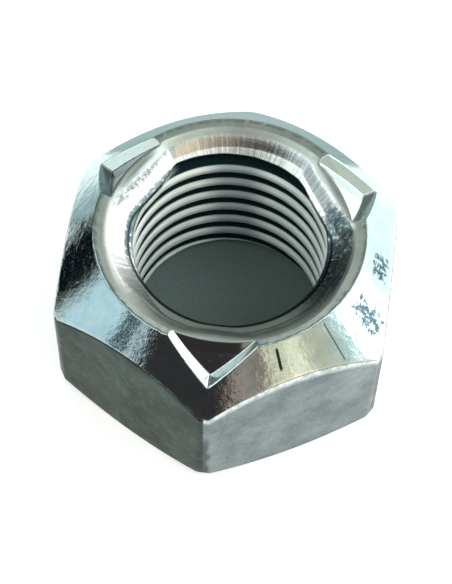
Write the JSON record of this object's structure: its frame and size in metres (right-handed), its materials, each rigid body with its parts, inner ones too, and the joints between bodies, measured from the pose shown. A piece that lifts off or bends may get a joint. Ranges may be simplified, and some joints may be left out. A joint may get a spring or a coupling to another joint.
{
  "type": "all-metal lock nut",
  "caption": "Hexagonal lock nut with a conical top, a dished rim and triangular punch marks that press the mouth of its thread out of round.",
  "frame": {"origin": "middle of the bearing face, on the axis of the bore", "axes": "+Z along the bore's axis from the bearing face to the rim, +X square to a pair of flats, -Y towards the punched corner that faces the camera"},
  "size_m": [0.018, 0.0204, 0.01],
  "materials": {
    "zinc_plated_steel": "bright zinc plating with a pale blue cast: glossy on the cone and the countersink, satin on the flats"
  },
  "bodies": {
    "root": {"lock_nut": "zinc_plated_steel"}
  },
  "joints": []
}
